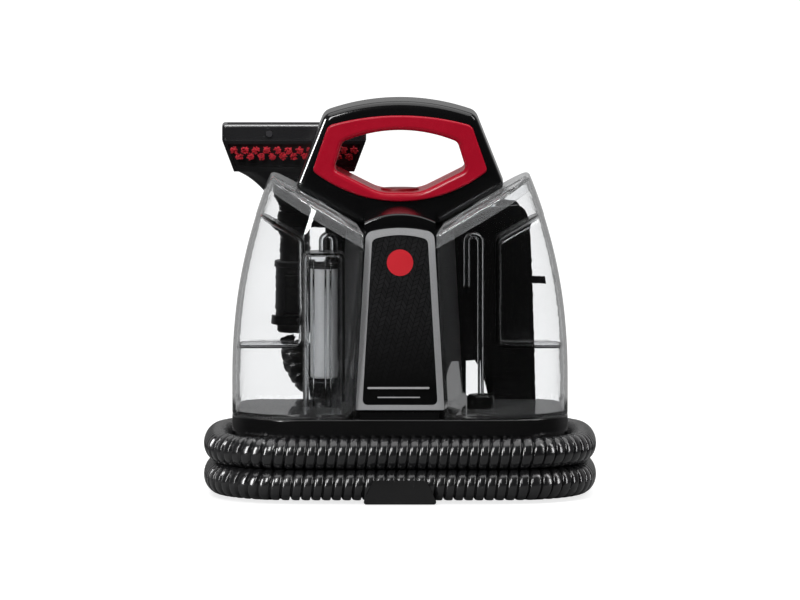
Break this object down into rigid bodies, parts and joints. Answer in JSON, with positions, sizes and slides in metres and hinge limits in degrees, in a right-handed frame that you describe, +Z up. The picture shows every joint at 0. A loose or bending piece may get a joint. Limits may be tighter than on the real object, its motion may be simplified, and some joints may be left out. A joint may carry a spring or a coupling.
{
  "type": "spot extractor",
  "caption": "Portable spot extractor with lift-off clean and recovery tanks beside a black tower, a hose wound round the base and a brush tool clipped at the back.",
  "frame": {"origin": "on the floor under the middle of the machine", "axes": "+Z up, front with the label panel at -Y, clean tank at +X, recovery tank and wand at -X"},
  "size_m": [0.314, 0.2091, 0.314],
  "materials": {
    "black_gloss": "gloss",
    "black_satin": "satin",
    "wand_grey": "satin",
    "tool_lip_grey": "satin",
    "silver_trim": "metallic satin",
    "label_dark": "satin film",
    "grip_red": "soft",
    "button_red": "satin",
    "bristle_red": "satin",
    "tank_clear": "clear",
    "lid_smoke": "clear smoke",
    "flap_clear": "clear",
    "inner_clear": "clear",
    "valve_grey": "satin",
    "rubber_black": "matt",
    "hose_black": "gloss",
    "duct_grey": "satin",
    "steel": "brushed",
    "motor_iron": "lacquered laminations",
    "winding_copper": "enamelled copper wire"
  },
  "bodies": {
    "base": {"base_pan": "black_satin", "base_deck": "black_satin", "rubber_feet": "rubber_black", "hose_cradle": "black_satin", "front_cover": "black_gloss", "front_bezel": "silver_trim", "label_panel": "label_dark", "rear_housing": "black_satin", "exhaust_grille": "black_satin", "cord_gland": "black_satin", "handle_front_shell": "black_gloss", "handle_rear_shell": "black_gloss", "handle_grip": "grip_red", "housing_screws": "steel", "power_switch": "black_satin", "motor_mount": "black_satin", "motor_can": "steel", "motor_stator": "motor_iron", "motor_bearings": "steel", "fan_housing": "black_satin", "pump_body": "black_satin", "suction_duct": "duct_grey", "recovery_duct": "duct_grey", "water_line_feed": "duct_grey", "water_line_spray": "duct_grey", "recovery_seat": "black_satin", "clean_seat": "black_satin", "hose_port": "black_satin", "cord_wrap_panel": "black_satin", "wand_clip_upper": "black_satin", "wand_clip_lower": "black_satin", "hose_coil": "hose_black", "hose_riser": "hose_black"},
    "power_button": {"power_button": "button_red"},
    "rotor": {"motor_shaft": "steel", "motor_armature": "winding_copper", "fan_impeller": "black_satin"},
    "cord_hook": {"cord_hook_upper": "black_satin"},
    "recovery_tank": {"recovery_tank_shell": "tank_clear", "recovery_tank_lid": "lid_smoke", "recovery_stack": "inner_clear", "recovery_elbow": "inner_clear"},
    "float": {"float_body": "valve_grey", "float_seal": "rubber_black"},
    "drain_flap": {"recovery_drain_flap": "flap_clear"},
    "clean_tank": {"clean_tank_shell": "tank_clear", "clean_tank_lid": "lid_smoke", "clean_vent_tube": "inner_clear", "clean_valve_housing": "valve_grey"},
    "valve": {"clean_valve_poppet": "valve_grey"},
    "fill_flap": {"clean_fill_flap": "flap_clear"},
    "wand": {"wand_tube": "wand_grey", "wand_grip": "wand_grey", "hose_cuff": "rubber_black"},
    "trigger": {"spray_trigger": "wand_grey"},
    "tool": {"tool_body": "wand_grey", "tool_lip": "tool_lip_grey", "tool_screws": "steel", "tool_bristles": "bristle_red", "spray_nozzle": "wand_grey"}
  },
  "joints": [
    {"name": "power_button_press", "type": "slide", "parent": "base", "child": "power_button", "axis": [0, 0, -1], "range_m": [0, 0.0025], "stiffness_N_per_m": 400, "springref_m": -0.002},
    {"name": "rotor_spin", "type": "hinge", "parent": "base", "child": "rotor", "pos_m": [0, 0.032, 0.13], "axis": [0, 0, 1], "continuous": true},
    {"name": "cord_hook_turn", "type": "hinge", "parent": "base", "child": "cord_hook", "pos_m": [0.088, 0.064, 0.205], "axis": [0, 1, 0], "range_deg": [0, 180]},
    {"name": "recovery_tank_lift", "type": "slide", "parent": "base", "child": "recovery_tank", "axis": [-0.866, 0, 0.5], "range_m": [0, 0.15]},
    {"name": "float_rise", "type": "slide", "parent": "recovery_tank", "child": "float", "axis": [0, 0, 1], "range_m": [0, 0.006]},
    {"name": "drain_flap_open", "type": "hinge", "parent": "recovery_tank", "child": "drain_flap", "pos_m": [-0.05005, 0, 0.225], "axis": [0, 1, 0], "range_deg": [0, 95]},
    {"name": "clean_tank_lift", "type": "slide", "parent": "base", "child": "clean_tank", "axis": [0.866, 0, 0.5], "range_m": [0, 0.15]},
    {"name": "valve_lift", "type": "slide", "parent": "clean_tank", "child": "valve", "axis": [0, 0, 1], "range_m": [0, 0.003], "stiffness_N_per_m": 60, "springref_m": -0.003},
    {"name": "fill_flap_open", "type": "hinge", "parent": "clean_tank", "child": "fill_flap", "pos_m": [0.05005, 0, 0.225], "axis": [0, -1, 0], "range_deg": [0, 95]},
    {"name": "wand_unclip", "type": "slide", "parent": "base", "child": "wand", "axis": [0, 1, 0], "range_m": [0, 0.06]},
    {"name": "trigger_press", "type": "hinge", "parent": "wand", "child": "trigger", "pos_m": [-0.085, 0.066, 0.166], "axis": [1, 0, 0], "range_deg": [0, 8], "stiffness_Nm_per_rad": 0.3, "springref_deg": -2.86},
    {"name": "tool_pull", "type": "slide", "parent": "wand", "child": "tool", "axis": [0, 0, 1], "range_m": [0, 0.06]}
  ]
}
